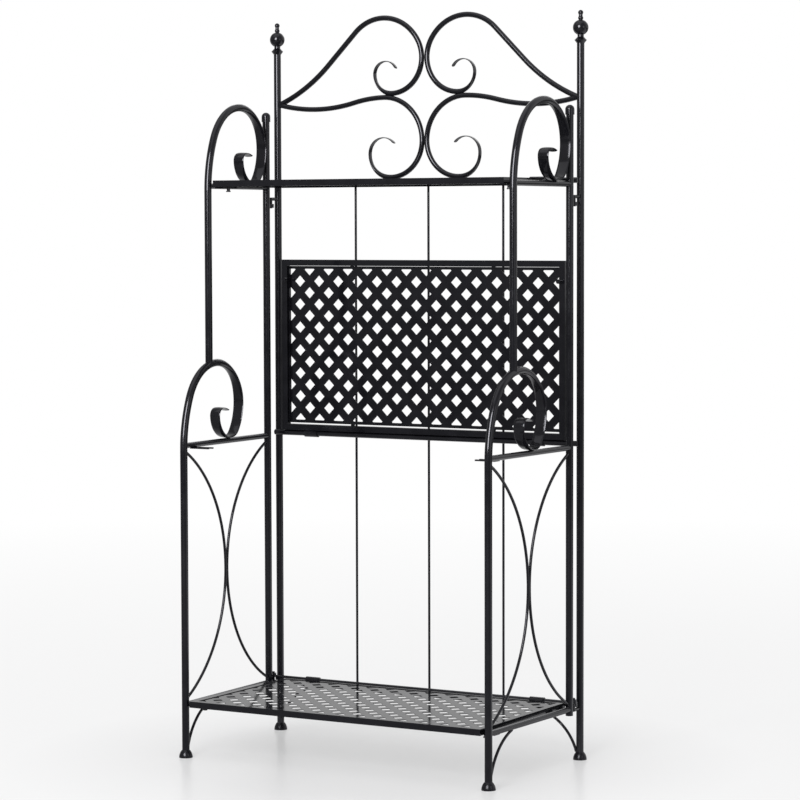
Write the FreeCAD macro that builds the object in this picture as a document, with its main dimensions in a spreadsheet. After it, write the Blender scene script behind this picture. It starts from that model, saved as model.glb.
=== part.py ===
"""Tiered plant stand: back frame with a scrolled crest, two hinged side panels and three folding shelves."""
import math
import os

import FreeCAD
import Part
from FreeCAD import Placement, Rotation, Vector

doc = FreeCAD.newDocument("plant_stand")

# Driving dimensions in mm and degrees
SIZES = {
    "post_spacing": 620, "back_plane": 161, "post_radius": 6.5, "post_start": 3, "post_above": 238.5,
    "bar_radius": 5, "bar_over": 1, "rod_radius": 2.5, "weld": 0.2,
    "upright_radius": 2.15, "upright_spacing": 151, "upright_shift": 10,
    "level_low": 95.5, "tier": 456, "hinge_rise": 3, "side_bar_drop": 2, "top_bar_drop": 4,
    "toe_in": 1.44, "pin_plane": 136, "rear_post_at": 15.25, "upper_post_at": 213, "front_post_at": 297,
    "rear_post_below": 12.5, "rear_post_above": 123.5, "cap_radius": 8, "cap_skirt": 9,
    "foot_radius": 12, "foot_height": 16,
    "finial_collar": 10.8, "finial_collar_height": 11, "finial_ball": 13.5, "finial_ball_rise": 27,
    "finial_neck": 5.5, "finial_stem": 3.4, "finial_bead": 4.5, "finial_bead_rise": 16.2,
    "finial_tip_rise": 25.6,
    "bow_at": 160, "bow_drop": 9.3, "bow_bite": 1.5,
    "brace_radius": 105, "brace_width": 72, "brace_height": 72,
    "back_brace_radius": 97, "back_brace_width": 92.5, "back_brace_height": 75,
    "back_brace_drop": 2.4, "back_brace_plane": 157,
    "pin_radius": 3, "pin_drop": 25.5, "pin_clear": 0.2, "pin_leg_upper": 17, "pin_leg_lower": 21.5,
    "eye_radius": 5.8, "eye_height": 7, "eye_drop": 16, "eye_lift": 11.7, "eye_gap": 0.05,
    "crest_radius": 4.75, "crest_step": 0.15, "crest_plane": 160.5, "crest_strap": 6, "crest_strap_half": 1,
    "arch_strap": 10.5, "arch_strap_half": 1.5, "tip_share": 0.6,
    "tab_reach": 37.5, "tab_width": 18, "tab_thick": 2.5, "tab_gap": 0.3,
    "tab_slot": 10, "tab_slot_depth": 21,
    "shelf_side_gap": 20, "shelf_tube": 11, "shelf_rear": 5.5, "reach_deep": 317, "reach_shallow": 233,
    "peg_back": 36, "peg_inset": 9, "peg_radius": 3, "peg_length": 9, "collar_radius": 4, "collar_height": 2,
    "strap_clear": 3.6, "strap_width": 27, "strap_thick": 2, "strap_gap": 0.06,
    "slit_side": 1, "slit_rear": 2.5, "slit_front": 0.6, "stitch_width": 8,
    "sheet_thick": 1, "sheet_drop": 1, "lip_depth": 6, "lip_thick": 1.5,
    "column_pitch": 40.8, "row_pitch": 42, "hole_diagonal": 21, "hole_shift": -1.5,
    "columns": 13, "rows_deep": 13, "rows_shallow": 9,
}

sheet = doc.addObject("Spreadsheet::Sheet", "sizes")
for row, (alias, number) in enumerate(SIZES.items(), start=1):
    sheet.set(f"A{row}", alias)
    sheet.set(f"B{row}", str(number))
    sheet.setAlias(f"B{row}", alias)
doc.recompute()

X_AXIS = Vector(1, 0, 0)
Y_AXIS = Vector(0, 1, 0)
Z_AXIS = Vector(0, 0, 1)
FLATTEN_STEPS = 6
parts = []


def size(alias):
    """Reads one driving dimension."""
    return float(sheet.get(alias))


def solid(kind, name, **bindings):
    """Adds a primitive whose sizes are bound to the spreadsheet."""
    item = doc.addObject("Part::" + kind, name)
    for prop, formula in bindings.items():
        item.setExpression(prop, formula)
    return item


def cylinder(name, radius, height, start, direction=Z_AXIS):
    """Round bar from a point along a direction."""
    item = solid("Cylinder", name, Radius=radius, Height=height)
    item.Placement = Placement(start, Rotation(Z_AXIS, direction))
    return item


def box(name, length, width, height, corner, turn=Rotation()):
    """Block with bound sizes, its corner at a point."""
    item = solid("Box", name, Length=length, Width=width, Height=height)
    item.Placement = Placement(corner, turn)
    return item


def arc_rod(name, radius, rod, sweep, centre, start, axis):
    """Rod bent to a circular arc from a start direction, turning about an axis."""
    item = solid("Torus", name, Radius1=radius, Radius2=rod, Angle3=sweep)
    item.Placement = Placement(centre, Rotation(start, Vector(), axis, "ZXY"))
    return item


def fuse(name, items):
    """Joins solids into one piece."""
    item = doc.addObject("Part::MultiFuse", name)
    item.Shapes = items
    return item


def cut(name, base, tool):
    """Takes one solid out of another."""
    item = doc.addObject("Part::Cut", name)
    item.Base = base
    item.Tool = tool
    return item


def cope(name, base, tools):
    """Cuts a tube end to fit the tubes it is welded to."""
    item = base
    for index, tool in enumerate(tools):
        item = cut(f"{name}_cope{index}", item, tool)
    return item


def group(name, items):
    """Holds like pieces together as one sub-part."""
    item = doc.addObject("Part::Compound", name)
    item.Links = items
    return item


def keep(label, item):
    """Names a finished sub-part."""
    item.Label = label
    parts.append(item)
    return item


# Scroll tubes: a planar chain of tangent arcs, swept from a round to a flattened section
def scroll_path(start, heading, steps, along, up):
    """Returns the arcs and stations of a chain; a step is (radius, turn), or (length, 0) for a straight."""
    edges = []
    stations = [(start, along * math.cos(heading) + up * math.sin(heading))]
    point = start
    for radius, turn in steps:
        ahead = along * math.cos(heading) + up * math.sin(heading)
        if turn == 0:
            end = point + ahead * radius
            edges.append(Part.LineSegment(point, end).toShape())
        else:
            side = (up * math.cos(heading) - along * math.sin(heading)) * math.copysign(radius, turn)
            angle = math.radians(turn)
            middle = point + side - side * math.cos(angle / 2) + ahead * radius * abs(math.sin(angle / 2))
            end = point + side - side * math.cos(angle) + ahead * radius * math.sin(abs(angle))
            edges.append(Part.Arc(point, middle, end).toShape())
            heading += angle
        point = end
        stations.append((point, along * math.cos(heading) + up * math.sin(heading)))
    return edges, stations


def section_ring(point, tangent, across, half_width, half_thick):
    """Round or flattened section, square to the path."""
    curve = Part.Circle(Vector(), Z_AXIS, half_thick)
    if half_width > half_thick:
        curve = Part.Ellipse(Vector(), half_width, half_thick)
    wire = Part.Wire(curve.toShape())
    wire.Placement = Placement(point, Rotation(across, Vector(), tangent, "ZXY"))
    return wire


def scroll_tube(name, start, heading, steps, flatten, radius, strap, along):
    """Tube along a chain of arcs: round up to one step, flattened through it, then a round-tipped strap."""
    across = along.cross(Z_AXIS)
    edges, stations = scroll_path(start, heading, steps, along, Z_AXIS)
    tube_face = Part.Face(section_ring(*stations[0], across, radius, radius))
    tube = Part.Wire(edges[:flatten]).makePipe(tube_face)
    strap_face = Part.Face(section_ring(*stations[flatten + 1], across, *strap))
    flat = Part.Wire(edges[flatten + 1:]).makePipe(strap_face)
    bend_radius, bend_turn = steps[flatten]
    point, tangent = stations[flatten]
    bend_heading = math.atan2(tangent.z, tangent.dot(along))
    sections = []
    for step in range(FLATTEN_STEPS + 1):
        share = step / FLATTEN_STEPS
        place = (point, tangent)
        if step > 0:
            place = scroll_path(point, bend_heading, [(bend_radius, bend_turn * share)], along, Z_AXIS)[1][-1]
        blend = share * share * (3 - 2 * share)
        half_width = radius + (strap[0] - radius) * blend
        half_thick = radius + (strap[1] - radius) * blend
        sections.append(section_ring(*place, across, half_width, half_thick))
    squeezed = Part.makeLoft(sections, True, False)
    stretch = FreeCAD.Matrix()
    stretch.scale(strap[0], strap[1], strap[0] * size("tip_share"))
    tip = Part.makeSphere(1, Vector(), Z_AXIS, 0, 90, 360).transformGeometry(stretch)
    end_point, end_tangent = stations[-1]
    tip.Placement = Placement(end_point, Rotation(across, Vector(), end_tangent, "ZXY"))
    item = doc.addObject("Part::Feature", name)
    item.Shape = tube.fuse([squeezed, flat, tip])
    return item


def corner_brace(name, corner, toward_post, up, width, height, radius):
    """Rod bent to an arc across a corner, from a point below it on the post to a point along the bar."""
    across = size(width)
    drop = size(height)
    chord = math.hypot(across, drop)
    foot_end = corner - up * drop
    bar_end = corner - toward_post * across
    rise = math.sqrt(size(radius) ** 2 - chord ** 2 / 4)
    centre = (foot_end + bar_end) * 0.5 - (toward_post * drop + up * across) * (rise / chord)
    sweep = f"2 * asin(sqrt(sizes.{width}^2 + sizes.{height}^2) / (2 * sizes.{radius}))"
    axis = toward_post.cross(up)
    rod = arc_rod(name, f"sizes.{radius}", "sizes.rod_radius", sweep, centre, foot_end - centre, axis)
    return rod, bar_end


def foot_cap(name, floor_point):
    """Domed foot with a flat sole."""
    dome = solid("Ellipsoid", f"{name}_dome", Radius1="sizes.foot_height", Radius2="sizes.foot_radius")
    dome.Placement.Base = floor_point
    waste = cylinder(f"{name}_waste", "2 * sizes.foot_radius", "2 * sizes.foot_height", floor_point,
                     Z_AXIS * -1)
    return cut(f"{name}_cap", dome, waste)


# Levels and shared places
half_spacing = size("post_spacing") / 2
back_plane = size("back_plane")
axis_plane = back_plane - size("post_radius") - size("bar_radius") + size("weld")
levels = [size("level_low") + size("tier") * step for step in range(3)]
axis_heights = [level + size("hinge_rise") for level in levels]
tiers = ["bottom", "middle", "top"]
post_top = levels[2] + size("post_above")
shelf_half_formula = "(sizes.post_spacing / 2 - sizes.shelf_side_gap)"
shelf_half = half_spacing - size("shelf_side_gap")

# Back frame: posts, feet and finials
back_posts = {}
back_feet = {}
post_length = "sizes.level_low + 2 * sizes.tier + sizes.post_above - sizes.post_start"
for side, sign in (("left", -1), ("right", 1)):
    floor_point = Vector(sign * half_spacing, back_plane, 0)
    post = cylinder(f"{side}_back_post_tube", "sizes.post_radius", post_length,
                    floor_point + Z_AXIS * size("post_start"))
    back_posts[side] = keep(f"{side}_back_post", post)
    back_feet[side] = foot_cap(f"{side}_back_foot", floor_point)
    keep(f"{side}_back_foot", cut(f"{side}_back_foot_fit", back_feet[side], post))

    finial_base = floor_point + Z_AXIS * post_top
    ball_centre = finial_base + Z_AXIS * size("finial_ball_rise")
    collar_low = solid("Cone", f"{side}_collar_low", Radius1="sizes.post_radius",
                       Radius2="sizes.finial_collar", Height="sizes.finial_collar_height / 2")
    collar_low.Placement.Base = finial_base
    collar_high = solid("Cone", f"{side}_collar_high", Radius1="sizes.finial_collar",
                        Radius2="sizes.finial_neck", Height="sizes.finial_collar_height / 2")
    collar_high.Placement.Base = finial_base + Z_AXIS * (size("finial_collar_height") / 2)
    neck = cylinder(f"{side}_neck", "sizes.finial_neck", "sizes.finial_ball_rise", finial_base)
    ball = solid("Sphere", f"{side}_ball", Radius="sizes.finial_ball")
    ball.Placement.Base = ball_centre
    stem = cylinder(f"{side}_stem", "sizes.finial_stem", "sizes.finial_tip_rise", ball_centre)
    bead = solid("Sphere", f"{side}_bead", Radius="sizes.finial_bead")
    bead.Placement.Base = ball_centre + Z_AXIS * size("finial_bead_rise")
    tip = solid("Sphere", f"{side}_tip", Radius="sizes.finial_bead")
    tip.Placement.Base = ball_centre + Z_AXIS * size("finial_tip_rise")
    turning = [collar_low, collar_high, neck, ball, stem, bead, tip]
    keep(f"{side}_finial", fuse(f"{side}_finial_turning", turning))

# Back cross bars and uprights
back_bars = []
for tier, height in zip(tiers, axis_heights):
    bar_start = Vector(-half_spacing - size("bar_over"), axis_plane, height)
    rod = cylinder(f"{tier}_back_rod", "sizes.bar_radius", "sizes.post_spacing + 2 * sizes.bar_over",
                   bar_start, X_AXIS)
    back_bars.append(keep(f"{tier}_back_bar", rod))

upright_plane = axis_plane + size("bar_radius") + size("upright_radius") - size("weld")
for index, name in enumerate(("left", "centre", "right")):
    across = (index - 1) * size("upright_spacing") + size("upright_shift")
    foot_point = Vector(across, upright_plane, axis_heights[0] - size("bar_radius"))
    rod = cylinder(f"{name}_upright_rod", "sizes.upright_radius", "2 * sizes.tier + 2 * sizes.bar_radius",
                   foot_point)
    keep(f"{name}_upright", rod)

# Back braces: an arc from each post's foot, leaning forward, with its end turned up to the bottom bar
bar_under = axis_heights[0] - size("bar_radius")
lean = math.asin((size("back_brace_plane") - axis_plane) / size("back_brace_height"))
brace_up = Vector(0, -math.sin(lean), math.cos(lean))
post_side = math.sqrt(size("post_radius") ** 2 - (back_plane - size("back_brace_plane")) ** 2)
brace_top = bar_under - size("rod_radius") - size("back_brace_drop")
for side, sign in (("left", -1), ("right", 1)):
    corner = Vector(sign * (half_spacing - post_side), axis_plane, brace_top)
    arc, bar_end = corner_brace(f"{side}_back_brace_arc", corner, X_AXIS * sign, brace_up, "back_brace_width",
                                "back_brace_height", "back_brace_radius")
    elbow = solid("Sphere", f"{side}_back_brace_elbow", Radius="sizes.rod_radius")
    elbow.Placement.Base = bar_end
    riser = cylinder(f"{side}_back_brace_end", "sizes.rod_radius",
                     "sizes.rod_radius + sizes.back_brace_drop + sizes.bar_radius / 2", bar_end)
    rod = fuse(f"{side}_back_brace_rod", [arc, elbow, riser])
    welded_to = [back_posts[side], back_feet[side], back_bars[0]]
    keep(f"{side}_back_brace", cope(f"{side}_back_brace", rod, welded_to))
strap_at = (half_spacing - post_side - size("back_brace_width") + size("rod_radius") + size("strap_clear")
            + size("strap_width") / 2)

# Hinge pins of the side panels, bent from round bar
pin_heights = {
    "upper": levels[2] - size("pin_drop"),
    "lower": bar_under - size("pin_radius") - size("pin_clear"),
}
pin_ways = {"upper": Z_AXIS * -1, "lower": Z_AXIS}
for side, sign in (("left", -1), ("right", 1)):
    hooks = []
    for name, height in pin_heights.items():
        bend = Vector(sign * half_spacing, size("pin_plane"), height)
        arm = cylinder(f"{side}_{name}_arm", "sizes.pin_radius", "sizes.back_plane - sizes.pin_plane",
                       bend, Y_AXIS)
        elbow = solid("Sphere", f"{side}_{name}_elbow", Radius="sizes.pin_radius")
        elbow.Placement.Base = bend
        leg = cylinder(f"{side}_{name}_leg", "sizes.pin_radius", f"sizes.pin_leg_{name}",
                       bend, pin_ways[name])
        bent = fuse(f"{side}_{name}_bent", [arm, elbow, leg])
        hooks.append(cut(f"{side}_{name}_hook", bent, back_posts[side]))
    keep(f"{side}_hinge_pins", group(f"{side}_hinge_hooks", hooks))

# Crest: two scrolls on each side of the middle, drawn for one half spacing and scaled to the real one
CREST_HALF_SPACING = 310
UPPER_CREST = [(11.7, 0), (311, 23), (81, 0), (82, -105), (62.5, -118.5), (35, -89), (23, -150)]
LOWER_CREST = [(11.4, 0), (325, 28.2), (258, -13.8), (78, -92.6), (64.3, -93.6), (41, -91.7), (28.2, -128)]
UPPER_START = (144.6, 21.9, 0)
LOWER_START = (147.6, -13.8, 4.9)
crest_scale = half_spacing / CREST_HALF_SPACING


def crest_tube(name, side, sign, steps, begin, radius):
    """One crest scroll, its lead-in shortened by the tube radius so that the halves meet in the middle."""
    rise, slope, skip = begin
    heading = math.radians(slope)
    skipped = skip * crest_scale
    scaled = [(length * crest_scale, turn) for length, turn in steps]
    scaled[0] = (scaled[0][0] - size("crest_radius") - skipped, 0)
    along = X_AXIS * -sign
    start = Vector(sign * half_spacing, size("crest_plane"), levels[2] + rise * crest_scale)
    start += (along * math.cos(heading) + Z_AXIS * math.sin(heading)) * skipped
    strap = (size("crest_strap"), size("crest_strap_half"))
    flatten = len(steps) - 2
    return scroll_tube(f"{side}_{name}_crest_tube", start, heading, scaled, flatten, radius, strap, along)


for side, sign in (("left", -1), ("right", 1)):
    upper = crest_tube("upper", side, sign, UPPER_CREST, UPPER_START, size("crest_radius"))
    lower_radius = size("crest_radius") - size("crest_step")
    lower = crest_tube("lower", side, sign, LOWER_CREST, LOWER_START, lower_radius)
    upper_crest = keep(f"{side}_upper_crest", cut(f"{side}_upper_crest_coped", upper, back_posts[side]))
    keep(f"{side}_lower_crest", cope(f"{side}_lower_crest", lower, [back_posts[side], upper_crest]))

# Side panels, each in its own plane through the hinge pins; the arch is drawn for one tier and scaled
ARCH_TIER = 456
ARCH = [(224, 24.5), (97, 65.5), (73, 90), (87.5, 35.5), (26.5, 54.5), (41, 88), (13.5, 90), (41, 25)]
CROWN_STEPS = 2
RESTING_STEPS = 5
SADDLE_LIFT = 0.3
toe = math.radians(size("toe_in"))
arch_steps = [(radius * size("tier") / ARCH_TIER, turn) for radius, turn in ARCH]
bar_drops = ("side_bar_drop", "side_bar_drop", "top_bar_drop")
side_bars = [level - size(drop) for level, drop in zip(levels, bar_drops)]
rear_post_low = levels[0] - size("rear_post_below")
rear_post_top = levels[2] + size("rear_post_above")
rear_post_length = "2 * sizes.tier + sizes.rear_post_above + sizes.rear_post_below"
eye_heights = {
    "upper": pin_heights["upper"] - size("eye_drop"),
    "lower": pin_heights["lower"] + size("eye_lift"),
}
peg_half = shelf_half - size("peg_inset")


def arch_tube(name, place, low, bar, forward):
    """Post that bends over into a scroll resting on a side bar; place is its foot, low its lower end."""
    stations = scroll_path(Vector(), math.pi / 2, arch_steps, forward, Z_AXIS)[1]
    resting = stations[RESTING_STEPS][0].z
    bend = bar + size("bar_radius") + size("arch_strap_half") - size("weld") - resting
    steps = [(bend - low, 0)] + arch_steps
    strap = (size("arch_strap"), size("arch_strap_half"))
    tube = scroll_tube(name, place + Z_AXIS * low, math.pi / 2, steps, CROWN_STEPS + 1,
                       size("post_radius"), strap, forward)
    return tube, place + stations[CROWN_STEPS][0] + Z_AXIS * bend


for side, sign in (("left", -1), ("right", 1)):
    forward = Vector(-sign * math.sin(toe), -math.cos(toe), 0)
    inward = Vector(-sign * math.cos(toe), math.sin(toe), 0)
    hinge = Vector(sign * half_spacing, size("pin_plane"), 0)
    front_point = hinge + forward * size("front_post_at")

    # Rear post and its cap
    rear_point = hinge + forward * size("rear_post_at")
    rear_post = cylinder(f"{side}_rear_tube", "sizes.post_radius", rear_post_length,
                         rear_point + Z_AXIS * rear_post_low)
    keep(f"{side}_rear_post", rear_post)
    cap_ball = solid("Sphere", f"{side}_cap_ball", Radius="sizes.cap_radius")
    cap_ball.Placement.Base = rear_point + Z_AXIS * rear_post_top
    cap_skirt = cylinder(f"{side}_cap_skirt", "sizes.cap_radius", "sizes.cap_skirt",
                         rear_point + Z_AXIS * (rear_post_top - size("cap_skirt")))
    cap = fuse(f"{side}_cap_body", [cap_ball, cap_skirt])
    keep(f"{side}_post_cap", cut(f"{side}_cap_fit", cap, rear_post))

    # Front posts that bend over into scrolls; the upper one stands on the bend of the lower one
    lower_name = f"{side}_lower_arch_tube"
    lower, crown = arch_tube(lower_name, front_point, size("post_start"), side_bars[1], forward)
    lower_arch = keep(f"{side}_lower_arch", lower)
    upper_point = hinge + forward * size("upper_post_at")
    crown_radius = arch_steps[CROWN_STEPS - 1][0]
    off_crown = (upper_point - crown).dot(forward)
    saddle_drop = crown_radius - math.sqrt(crown_radius ** 2 - off_crown ** 2)
    saddle = crown.z - saddle_drop + SADDLE_LIFT * size("post_radius")
    upper = arch_tube(f"{side}_upper_arch_tube", upper_point, saddle, side_bars[2], forward)[0]
    upper_arch = keep(f"{side}_upper_arch", cut(f"{side}_upper_arch_coped", upper, lower_arch))

    # Foot under the front post
    front_foot = foot_cap(f"{side}_front_foot", front_point)
    keep(f"{side}_front_foot", cut(f"{side}_front_foot_fit", front_foot, lower_arch))

    # Side bars and the tabs that carry the shelves
    bars = []
    tabs = []
    lower_carrier = ("front", lower_arch, "deep")
    carriers = (lower_carrier, lower_carrier, ("upper", upper_arch, "shallow"))
    turn = Rotation(inward, Vector(), Z_AXIS, "ZXY")
    hand = Z_AXIS.cross(inward)
    for tier, height, level, (front, arch, reach) in zip(tiers, side_bars, levels, carriers):
        bar_length = f"sizes.{front}_post_at - sizes.rear_post_at"
        bar_point = rear_point + Z_AXIS * height
        rod = cylinder(f"{side}_{tier}_side_rod", "sizes.bar_radius", bar_length, bar_point, forward)
        bars.append(keep(f"{side}_{tier}_side_bar", cope(f"{side}_{tier}_side_bar", rod, [rear_post, arch])))

        peg_line = axis_plane - size(f"reach_{reach}") + size("peg_back")
        off_peg = front_point.x * sign - peg_half
        tab_at = (size("pin_plane") - peg_line + off_peg * math.sin(toe)) / math.cos(toe)
        tab_low = level - size("shelf_tube") / 2 - size("tab_gap") - size("tab_thick")
        tab_point = hinge + forward * tab_at + Z_AXIS * tab_low
        plate = box(f"{side}_{tier}_tab_plate", "sizes.tab_reach", "sizes.tab_width", "sizes.tab_thick",
                    tab_point - hand * (size("tab_width") / 2), turn)
        slot_point = tab_point + inward * (size("tab_reach") - size("tab_slot_depth"))
        slot = box(f"{side}_{tier}_tab_slot", "sizes.tab_reach", "sizes.tab_slot", "sizes.tab_thick",
                   slot_point - hand * (size("tab_slot") / 2), turn)
        fork = cut(f"{side}_{tier}_tab_fork", plate, slot)
        tabs.append(cut(f"{side}_{tier}_tab_fit", fork, bars[-1]))
    keep(f"{side}_shelf_tabs", group(f"{side}_tabs", tabs))

    # Bowed rods, back to back in the lower bay, each ending at its post a little inside the bars
    bow_height = Z_AXIS * ((side_bars[0] + side_bars[1]) / 2)
    rise = size("tier") / 2 - size("bow_drop")
    rise_size = "(sizes.tier / 2 - sizes.bow_drop)"
    bow_ends = (("rear", -1, rear_post, "rear_post_at"), ("front", 1, lower_arch, "front_post_at"))
    for name, facing, post, place in bow_ends:
        apex = hinge + forward * (size("bow_at") + facing * (size("rod_radius") - size("weld") / 2))
        span = facing * (size(place) - size("bow_at")) - size("post_radius") + size("bow_bite")
        span_size = f"({facing} * (sizes.{place} - sizes.bow_at) - sizes.post_radius + sizes.bow_bite)"
        half_turn = 2 * math.atan(span / rise)
        sweep = f"4 * atan({span_size} / {rise_size})"
        bow_radius = f"({span_size} ^ 2 + {rise_size} ^ 2) / (2 * {span_size})"
        centre = apex + forward * facing * (span / 2 + rise ** 2 / (2 * span)) + bow_height
        start = forward * -facing * math.cos(half_turn) - Z_AXIS * math.sin(half_turn)
        axis = (forward * -facing).cross(Z_AXIS)
        rod = arc_rod(f"{side}_{name}_bow_rod", bow_radius, "sizes.rod_radius", sweep, centre, start, axis)
        keep(f"{side}_{name}_bow", cope(f"{side}_{name}_bow", rod, [post, bars[0], bars[1]]))

    # Brace across the corner of the front post and the bottom bar
    corner = front_point - forward * size("post_radius") + Z_AXIS * (side_bars[0] - size("bar_radius"))
    rod = corner_brace(f"{side}_front_brace_rod", corner, forward, Z_AXIS, "brace_width", "brace_height",
                       "brace_radius")[0]
    keep(f"{side}_front_brace", cope(f"{side}_front_brace", rod, [lower_arch, bars[0], front_foot]))

    # Hinge eyes on the back of the rear post
    eyes = []
    for name, height in eye_heights.items():
        eye_point = hinge + Z_AXIS * height
        ring = cylinder(f"{side}_{name}_ring", "sizes.eye_radius", "sizes.eye_height", eye_point)
        neck_point = eye_point + forward.cross(Z_AXIS) * size("pin_radius")
        neck_turn = Rotation(forward, Vector(), Z_AXIS, "ZXY")
        neck = box(f"{side}_{name}_eye_neck", "sizes.rear_post_at", "2 * sizes.pin_radius",
                   "sizes.eye_height", neck_point, neck_turn)
        bore_radius = "sizes.pin_radius + sizes.eye_gap"
        bore = cylinder(f"{side}_{name}_bore", bore_radius, "sizes.eye_height", eye_point)
        eye_body = fuse(f"{side}_{name}_eye_body", [ring, neck])
        eyes.append(cope(f"{side}_{name}_eye", eye_body, [bore, rear_post]))
    keep(f"{side}_hinge_eyes", group(f"{side}_eyes", eyes))


# Shelves, drawn level about their hinge axis and then turned to their stored angle
ROW_STAGGER = 0.25
STITCH_PLACES = {"front": 0.8, "rear": 0.25}


def lattice_face(half_width, rear, front, rows):
    """Flat sheet with rows of diamond holes; holes on the border are cut off square."""
    def outline(corners):
        return Part.makePolygon(corners + corners[:1])

    rim = size("lip_thick")
    plate = Part.Face(outline([Vector(-half_width, -front, 0), Vector(half_width, -front, 0),
                               Vector(half_width, -rear, 0), Vector(-half_width, -rear, 0)]))
    limit_x = half_width - rim
    middle = (front + rear) / 2
    row_step = size("row_pitch") / 2
    reach = size("hole_diagonal") / 2
    limit_y = rows * row_step / 2 + rim
    holes = []
    for row in range(int(rows) + 1):
        y = (row - rows / 2) * row_step
        offset = -ROW_STAGGER if row % 2 else ROW_STAGGER
        for column in range(-1, int(size("columns")) + 1):
            x = (column - (size("columns") - 1) / 2 + offset) * size("column_pitch") + size("hole_shift")
            corners = []
            for east, north in ((1, 0), (0, 1), (-1, 0), (0, -1)):
                corners.append(Vector(x + east * reach, y + north * reach, 0))
            clipped = clip(corners, limit_x, limit_y)
            if len(clipped) > 2 and abs(x) < limit_x + reach / 2:
                holes.append(Part.Face(outline([corner + Vector(0, -middle, 0) for corner in clipped])))
    return plate.cut(Part.makeCompound(holes))


def clip(corners, limit_x, limit_y):
    """Cuts a polygon off at the borders of the hole field."""
    for axis, limit in (("x", limit_x), ("x", -limit_x), ("y", limit_y), ("y", -limit_y)):
        kept = []
        for here, after in zip(corners, corners[1:] + corners[:1]):
            depth_here = (limit - getattr(here, axis)) * math.copysign(1, limit)
            depth_after = (limit - getattr(after, axis)) * math.copysign(1, limit)
            if depth_here >= 0:
                kept.append(here)
            if depth_here * depth_after < 0:
                kept.append(here + (after - here) * (depth_here / (depth_here - depth_after)))
        corners = kept
        if len(corners) < 3:
            return []
    return corners


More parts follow.
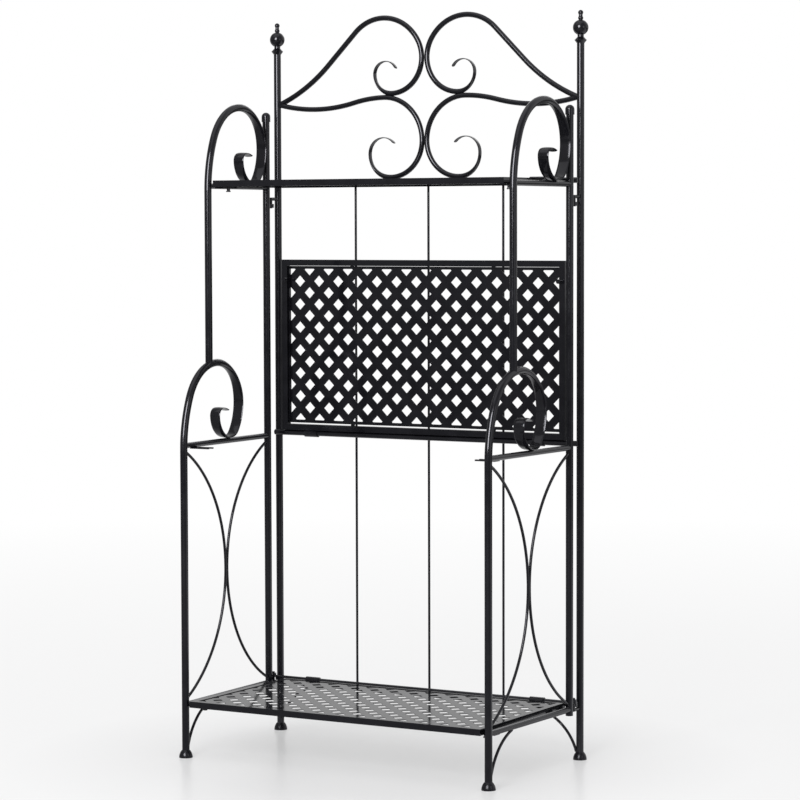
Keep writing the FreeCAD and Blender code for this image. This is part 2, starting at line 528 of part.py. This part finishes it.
FOLDED = {"bottom": 0, "middle": -90, "top": 0}
REACH = {"bottom": "deep", "middle": "deep", "top": "shallow"}
tube = size("shelf_tube")
frame_low = -size("hinge_rise") - tube / 2
sheet_half = shelf_half - tube - size("slit_side")
sheet_rear = size("shelf_rear") + tube + size("slit_rear")
sheet_top = frame_low + tube - size("sheet_drop")
sheet_low = sheet_top - size("sheet_thick")
sheet_width = f"2 * ({shelf_half_formula} - sizes.shelf_tube - sizes.slit_side)"
lip_thick = size("lip_thick")
for tier, height in zip(tiers, axis_heights):
    place = Placement(Vector(0, axis_plane, height), Rotation(X_AXIS, FOLDED[tier]))
    reach_name = f"sizes.reach_{REACH[tier]}"
    reach = size(f"reach_{REACH[tier]}")
    sheet_front = reach - tube - size("slit_front")

    # Frame of square tube
    outer = box(f"{tier}_frame_outer", f"2 * {shelf_half_formula}", f"{reach_name} - sizes.shelf_rear",
                "sizes.shelf_tube", Vector(-shelf_half, -reach, frame_low))
    inner = box(f"{tier}_frame_inner", f"2 * ({shelf_half_formula} - sizes.shelf_tube)",
                f"{reach_name} - sizes.shelf_rear - 2 * sizes.shelf_tube", "sizes.shelf_tube",
                Vector(-shelf_half + tube, -reach + tube, frame_low))
    frame = cut(f"{tier}_frame_tube", outer, inner)
    frame.Placement = place
    keep(f"{tier}_shelf_frame", frame)

    # Lattice sheet with its lip and the stitches that hold it in the frame
    blank = doc.addObject("Part::Feature", f"{tier}_lattice")
    blank.Shape = lattice_face(sheet_half, sheet_rear, sheet_front, size(f"rows_{REACH[tier]}"))
    blank.Placement.Base = Vector(0, 0, sheet_low)
    plate = doc.addObject("Part::Extrusion", f"{tier}_sheet_plate")
    plate.Base = blank
    plate.DirMode = "Custom"
    plate.Dir = Z_AXIS
    plate.Solid = True
    plate.setExpression("LengthFwd", "sizes.sheet_thick")
    slits = "(sizes.slit_rear + sizes.slit_front)"
    sheet_depth = f"{reach_name} - sizes.shelf_rear - 2 * sizes.shelf_tube - {slits}"
    lip_corner = Vector(-sheet_half, -sheet_front, sheet_top - size("lip_depth"))
    lip_outer = box(f"{tier}_lip_outer", sheet_width, sheet_depth, "sizes.lip_depth", lip_corner)
    lip_inner = box(f"{tier}_lip_inner", f"{sheet_width} - 2 * sizes.lip_thick",
                    f"{sheet_depth} - 2 * sizes.lip_thick", "sizes.lip_depth",
                    lip_corner + Vector(lip_thick, lip_thick, 0))
    lip = cut(f"{tier}_lip", lip_outer, lip_inner)
    stitches = []
    for name, side_x in (("left", -shelf_half + tube), ("right", sheet_half)):
        for end, share in STITCH_PLACES.items():
            stitches.append(box(f"{tier}_{name}_{end}_side_stitch", "sizes.slit_side", "sizes.stitch_width",
                                "sizes.sheet_thick", Vector(side_x, -reach * share, sheet_low)))
    for name, sign in (("left", -1), ("right", 1)):
        stitch_x = sign * shelf_half / 2 - size("stitch_width") / 2
        for end, edge in (("front", -reach + tube), ("rear", -sheet_rear)):
            stitches.append(box(f"{tier}_{name}_{end}_end_stitch", "sizes.stitch_width", f"sizes.slit_{end}",
                                "sizes.sheet_thick", Vector(stitch_x, edge, sheet_low)))
    lattice_sheet = fuse(f"{tier}_sheet_body", [plate, lip] + stitches)
    lattice_sheet.Placement = place
    keep(f"{tier}_shelf_sheet", lattice_sheet)

    # Straps that wrap the back bar
    straps = []
    for name, sign in (("left", -1), ("right", 1)):
        strap_start = Vector(sign * strap_at - size("strap_width") / 2, 0, 0)
        wrap = cylinder(f"{tier}_{name}_wrap", "sizes.bar_radius + sizes.strap_thick", "sizes.strap_width",
                        strap_start, X_AXIS)
        bore = cylinder(f"{tier}_{name}_wrap_bore", "sizes.bar_radius + sizes.strap_gap", "sizes.strap_width",
                        strap_start, X_AXIS)
        straps.append(cope(f"{tier}_{name}_strap", wrap, [bore, outer]))
    strap_pair = group(f"{tier}_straps", straps)
    strap_pair.Placement = place
    keep(f"{tier}_hinge_straps", strap_pair)

    # Pegs under the front corners
    pegs = []
    for name, sign in (("left", -1), ("right", 1)):
        peg_end = Vector(sign * peg_half, -reach + size("peg_back"), frame_low - size("peg_length"))
        pin = cylinder(f"{tier}_{name}_pin", "sizes.peg_radius", "sizes.peg_length", peg_end)
        collar = cylinder(f"{tier}_{name}_collar", "sizes.collar_radius", "sizes.collar_height", peg_end)
        pegs.append(fuse(f"{tier}_{name}_peg", [pin, collar]))
    peg_pair = group(f"{tier}_pegs", pegs)
    peg_pair.Placement = place
    keep(f"{tier}_shelf_pegs", peg_pair)

# Check and export
doc.recompute()
os.makedirs("parts", exist_ok=True)
for item in doc.Objects:
    if "Invalid" in item.State or "Error" in item.State:
        raise RuntimeError(f"{item.Name} did not compute: {item.State}")
for item in parts:
    if item.Shape.isNull() or not item.Shape.isValid() or not item.Shape.Solids:
        raise RuntimeError(f"{item.Label} is not a valid solid")
    item.Shape.exportStep(os.path.join("parts", item.Label + ".step"))
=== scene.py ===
"""Looks, light and camera for the tiered plant stand."""
import math

import bpy
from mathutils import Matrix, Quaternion, Vector

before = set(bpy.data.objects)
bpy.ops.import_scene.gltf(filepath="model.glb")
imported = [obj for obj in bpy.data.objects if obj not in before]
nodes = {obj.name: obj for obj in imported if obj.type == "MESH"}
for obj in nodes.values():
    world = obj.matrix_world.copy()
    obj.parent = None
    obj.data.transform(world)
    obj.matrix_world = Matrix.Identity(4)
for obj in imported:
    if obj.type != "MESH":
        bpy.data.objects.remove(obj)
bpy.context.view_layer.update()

# Camera, as fitted to the photograph
EYE = Vector((2.560, -4.332, 0.9317))
AIM = Vector((0.0354, 0.0105, 0.6301))
ROLL_DEG = 0.152
LENS_MM = 130.2
SENSOR_MM = 36.0
CLIP_END = 100.0

# Colours, linear
BLACK = (0.0042, 0.0042, 0.0056, 1.0)
BLACK_WORN = (0.0075, 0.0075, 0.0095, 1.0)
FLOOR = (0.42, 0.42, 0.425, 1.0)
# Painted reflection: the dim floor that reflections show in place of the lit one
DIM_FLOOR = (0.2, 0.2, 0.2, 1.0)
WHITE = (1.0, 1.0, 1.0, 1.0)
COOL_GLOSS = (0.93, 0.93, 1.0, 1.0)

# Paint: uneven tone and gloss, and a fine orange peel
TONE_SCALE = 38.0
TONE_DETAIL = 4.0
TONE_START = 0.35
TONE_END = 0.8
GLOSS_START = 0.3
GLOSS_END = 0.7
SMOOTHER = 0.03
ROUGHER = 0.04
PEEL_SCALE = 420.0
PEEL_DETAIL = 2.0
PEEL_STRENGTH = 0.05

# Rounded edges of the square tube and plates
EDGE_WIDTH = 0.0012
EDGE_SEGMENTS = 3

# Floor disc
FLOOR_SIDES = 96
FLOOR_RADIUS = 30.0
FLOOR_ROUGHNESS = 0.26
FLOOR_SPECULAR = 0.15

# Light levels
ROOM_LIGHT = 0.62
FRONT_REFLECTION = 0.23
BACK_REFLECTION = 0.62
# Painted light: the floor's own even glow, which lifts its shadows
FLOOR_GLOW = 0.38
FAR_FLOOR_GLOW = 1.0
TOP_WATTS = 13.0
STRIP_WATTS = 160.0
BACK_WATTS = 15.0
FILL_WATTS = 6.0

# In reflections the room brightens between these directions: -1 is straight to the front, 1 to the back
BACKDROP_START = -0.1
BACKDROP_END = 0.7

# Painted shade round the stand: the floor is darker near it and fades to white away from it; distances from
# its middle in m, and the part faded there
SHADE_FADE_STOPS = ((0.35, 0.0), (0.65, 0.45), (4.2, 1.0))

# Painted reflection: in reflections the floor is dim, but bright just behind the stand; places in m,
# counted back from the start
BRIGHT_FROM = -0.3
BRIGHT_STOPS = ((0.0, 0.0), (0.8, 1.0), (2.0, 1.0), (3.2, 0.0))


def link(tree, source, target):
    """Joins two sockets of a node tree."""
    tree.links.new(source, target)


def ramp(tree, source, stops):
    """Grey ramp over a distance, from (distance, level) stops."""
    span = stops[-1][0]
    share = tree.nodes.new("ShaderNodeMapRange")
    share.inputs["From Max"].default_value = span
    link(tree, source, share.inputs["Value"])
    levels = tree.nodes.new("ShaderNodeValToRGB")
    elements = levels.color_ramp.elements
    while len(elements) < len(stops):
        elements.new(1.0)
    for element, (distance, level) in zip(elements, stops):
        element.position = distance / span
        element.color = (level, level, level, 1.0)
    link(tree, share.outputs["Result"], levels.inputs["Fac"])
    return levels.outputs["Color"]


def coated_paint(name, roughness, bump_distance, specular):
    """Glossy black coat with a fine orange peel, a faintly uneven tone and uneven gloss."""
    material = bpy.data.materials.new(name)
    material.use_nodes = True
    tree = material.node_tree
    shader = tree.nodes["Principled BSDF"]
    place = tree.nodes.new("ShaderNodeTexCoord")

    tone = tree.nodes.new("ShaderNodeTexNoise")
    tone.inputs["Scale"].default_value = TONE_SCALE
    tone.inputs["Detail"].default_value = TONE_DETAIL
    link(tree, place.outputs["Object"], tone.inputs["Vector"])

    colour = tree.nodes.new("ShaderNodeValToRGB")
    colour.color_ramp.elements[0].position = TONE_START
    colour.color_ramp.elements[0].color = BLACK
    colour.color_ramp.elements[1].position = TONE_END
    colour.color_ramp.elements[1].color = BLACK_WORN
    link(tree, tone.outputs["Fac"], colour.inputs["Fac"])
    link(tree, colour.outputs["Color"], shader.inputs["Base Color"])

    gloss = tree.nodes.new("ShaderNodeMapRange")
    gloss.inputs["From Min"].default_value = GLOSS_START
    gloss.inputs["From Max"].default_value = GLOSS_END
    gloss.inputs["To Min"].default_value = roughness - SMOOTHER
    gloss.inputs["To Max"].default_value = roughness + ROUGHER
    link(tree, tone.outputs["Fac"], gloss.inputs["Value"])
    link(tree, gloss.outputs["Result"], shader.inputs["Roughness"])

    peel = tree.nodes.new("ShaderNodeTexNoise")
    peel.inputs["Scale"].default_value = PEEL_SCALE
    peel.inputs["Detail"].default_value = PEEL_DETAIL
    link(tree, place.outputs["Object"], peel.inputs["Vector"])
    bump = tree.nodes.new("ShaderNodeBump")
    bump.inputs["Strength"].default_value = PEEL_STRENGTH
    bump.inputs["Distance"].default_value = bump_distance
    link(tree, peel.outputs["Fac"], bump.inputs["Height"])
    link(tree, bump.outputs["Normal"], shader.inputs["Normal"])

    shader.inputs["Specular IOR Level"].default_value = specular
    shader.inputs["Specular Tint"].default_value = COOL_GLOSS
    return material


def dress_nodes():
    """Paints every CAD node and softens the edges of the square tube and plates."""
    tube_paint = coated_paint("tube_paint", roughness=0.13, bump_distance=0.00004, specular=0.65)
    sheet_paint = coated_paint("sheet_paint", roughness=0.1, bump_distance=0.00004, specular=0.6)
    foot_plastic = coated_paint("foot_plastic", roughness=0.24, bump_distance=0.00006, specular=0.5)
    for name, node in nodes.items():
        paint = tube_paint
        if name.endswith(("_shelf_sheet", "_shelf_frame")):
            paint = sheet_paint
        if name.endswith("_foot"):
            paint = foot_plastic
        node.data.materials.clear()
        node.data.materials.append(paint)
        if name.endswith(("_shelf_frame", "_shelf_tabs")):
            edge = node.modifiers.new("edge", "BEVEL")
            edge.width = EDGE_WIDTH
            edge.segments = EDGE_SEGMENTS
            edge.limit_method = "ANGLE"
            edge.harden_normals = True


def add_floor():
    """Pale floor with an even glow, painted light that lifts its shadows; darker round the stand, painted
    shade, and fading to white away from it; in reflections only its back is bright, a painted reflection.
    """
    bpy.ops.mesh.primitive_circle_add(
        vertices=FLOOR_SIDES, radius=FLOOR_RADIUS, fill_type="NGON", location=(0, 0, 0))
    floor = bpy.context.object
    floor.name = "floor"
    material = bpy.data.materials.new("floor_paint")
    material.use_nodes = True
    tree = material.node_tree
    shader = tree.nodes["Principled BSDF"]
    shader.inputs["Base Color"].default_value = FLOOR
    shader.inputs["Roughness"].default_value = FLOOR_ROUGHNESS
    shader.inputs["Specular IOR Level"].default_value = FLOOR_SPECULAR
    shader.inputs["Emission Color"].default_value = WHITE
    # Painted light: the whole floor glows evenly, which lifts its shadows and lights the stand from below
    shader.inputs["Emission Strength"].default_value = FLOOR_GLOW

    place = tree.nodes.new("ShaderNodeTexCoord")
    reach = tree.nodes.new("ShaderNodeVectorMath")
    reach.operation = "LENGTH"
    link(tree, place.outputs["Object"], reach.inputs[0])
    # Painted shade: the floor keeps its darker level round the stand and turns white further out for the
    # camera
    fade = ramp(tree, reach.outputs["Value"], SHADE_FADE_STOPS)

    light_path = tree.nodes.new("ShaderNodeLightPath")
    seen = tree.nodes.new("ShaderNodeMath")
    seen.operation = "MULTIPLY"
    link(tree, light_path.outputs["Is Camera Ray"], seen.inputs[0])
    link(tree, fade, seen.inputs[1])
    glow = tree.nodes.new("ShaderNodeEmission")
    glow.inputs["Color"].default_value = WHITE
    glow.inputs["Strength"].default_value = FAR_FLOOR_GLOW
    far = tree.nodes.new("ShaderNodeMixShader")
    link(tree, seen.outputs["Value"], far.inputs["Fac"])
    link(tree, shader.outputs["BSDF"], far.inputs[1])
    link(tree, glow.outputs["Emission"], far.inputs[2])

    # Painted reflection: glossy rays see a dim floor, bright only in a band just behind the stand
    parts = tree.nodes.new("ShaderNodeSeparateXYZ")
    link(tree, place.outputs["Object"], parts.inputs["Vector"])
    behind = tree.nodes.new("ShaderNodeMath")
    behind.operation = "SUBTRACT"
    behind.inputs[1].default_value = BRIGHT_FROM
    link(tree, parts.outputs["Y"], behind.inputs[0])
    bright = ramp(tree, behind.outputs["Value"], BRIGHT_STOPS)
    dark_reflection_share = tree.nodes.new("ShaderNodeMath")
    dark_reflection_share.operation = "SUBTRACT"
    dark_reflection_share.use_clamp = True
    link(tree, light_path.outputs["Is Glossy Ray"], dark_reflection_share.inputs[0])
    link(tree, bright, dark_reflection_share.inputs[1])
    dim = tree.nodes.new("ShaderNodeBsdfDiffuse")
    dim.inputs["Color"].default_value = DIM_FLOOR
    painted_reflection = tree.nodes.new("ShaderNodeMixShader")
    link(tree, dark_reflection_share.outputs["Value"], painted_reflection.inputs["Fac"])
    link(tree, far.outputs["Shader"], painted_reflection.inputs[1])
    link(tree, dim.outputs["BSDF"], painted_reflection.inputs[2])
    link(tree, painted_reflection.outputs["Shader"], tree.nodes["Material Output"].inputs["Surface"])
    floor.data.materials.append(material)


def light_room():
    """White where it is seen, even light on surfaces, and in reflections a dark front and a bright back."""
    world = bpy.data.worlds.new("room")
    bpy.context.scene.world = world
    world.use_nodes = True
    tree = world.node_tree
    background = tree.nodes["Background"]
    background.inputs["Color"].default_value = WHITE

    place = tree.nodes.new("ShaderNodeTexCoord")
    parts = tree.nodes.new("ShaderNodeSeparateXYZ")
    link(tree, place.outputs["Generated"], parts.inputs["Vector"])
    backdrop = tree.nodes.new("ShaderNodeMapRange")
    backdrop.interpolation_type = "SMOOTHSTEP"
    backdrop.inputs["From Min"].default_value = BACKDROP_START
    backdrop.inputs["From Max"].default_value = BACKDROP_END
    backdrop.inputs["To Min"].default_value = FRONT_REFLECTION
    backdrop.inputs["To Max"].default_value = BACK_REFLECTION
    link(tree, parts.outputs["Y"], backdrop.inputs["Value"])

    light_path = tree.nodes.new("ShaderNodeLightPath")
    shine = tree.nodes.new("ShaderNodeMapRange")
    shine.inputs["To Min"].default_value = ROOM_LIGHT
    link(tree, light_path.outputs["Is Glossy Ray"], shine.inputs["Value"])
    link(tree, backdrop.outputs["Result"], shine.inputs["To Max"])
    level = tree.nodes.new("ShaderNodeMath")
    level.operation = "MAXIMUM"
    link(tree, shine.outputs["Result"], level.inputs[0])
    link(tree, light_path.outputs["Is Camera Ray"], level.inputs[1])
    link(tree, level.outputs["Value"], background.inputs["Strength"])


def softbox(name, watts, width, height, azimuth_deg, distance, centre_height, aim_height):
    """Rectangular lamp round the object, aimed at a height on its axis."""
    turn = math.radians(azimuth_deg)
    lamp = bpy.data.lights.new(name, "AREA")
    lamp.shape = "RECTANGLE"
    lamp.size = width
    lamp.size_y = height
    lamp.energy = watts
    holder = bpy.data.objects.new(name, lamp)
    bpy.context.scene.collection.objects.link(holder)
    holder.location = (math.sin(turn) * distance, -math.cos(turn) * distance, centre_height)
    gaze = Vector((0, 0, aim_height)) - holder.location
    holder.rotation_mode = "QUATERNION"
    holder.rotation_quaternion = gaze.to_track_quat("-Z", "Y")


def add_camera():
    """Camera at the photograph's viewing angle."""
    data = bpy.data.cameras.new("camera")
    data.lens = LENS_MM
    data.sensor_width = SENSOR_MM
    data.clip_end = CLIP_END
    camera = bpy.data.objects.new("camera", data)
    bpy.context.scene.collection.objects.link(camera)
    camera.location = EYE
    camera.rotation_mode = "QUATERNION"
    gaze = AIM - EYE
    roll = Quaternion(gaze.normalized(), math.radians(ROLL_DEG))
    camera.rotation_quaternion = roll @ gaze.to_track_quat("-Z", "Y")
    bpy.context.scene.camera = camera


dress_nodes()
add_floor()
light_room()
softbox("top_light", TOP_WATTS, width=3.0, height=3.0, azimuth_deg=-20.0,
        distance=0.8, centre_height=3.4, aim_height=0.3)
softbox("strip_light", STRIP_WATTS, width=2.0, height=2.4, azimuth_deg=6.0,
        distance=4.2, centre_height=2.25, aim_height=1.2)
softbox("back_light", BACK_WATTS, width=3.6, height=1.3, azimuth_deg=195.0,
        distance=4.0, centre_height=2.9, aim_height=0.6)
softbox("fill_light", FILL_WATTS, width=1.4, height=1.8, azimuth_deg=75.0,
        distance=4.0, centre_height=1.5, aim_height=0.6)
add_camera()
bpy.context.scene.view_settings.view_transform = "Standard"
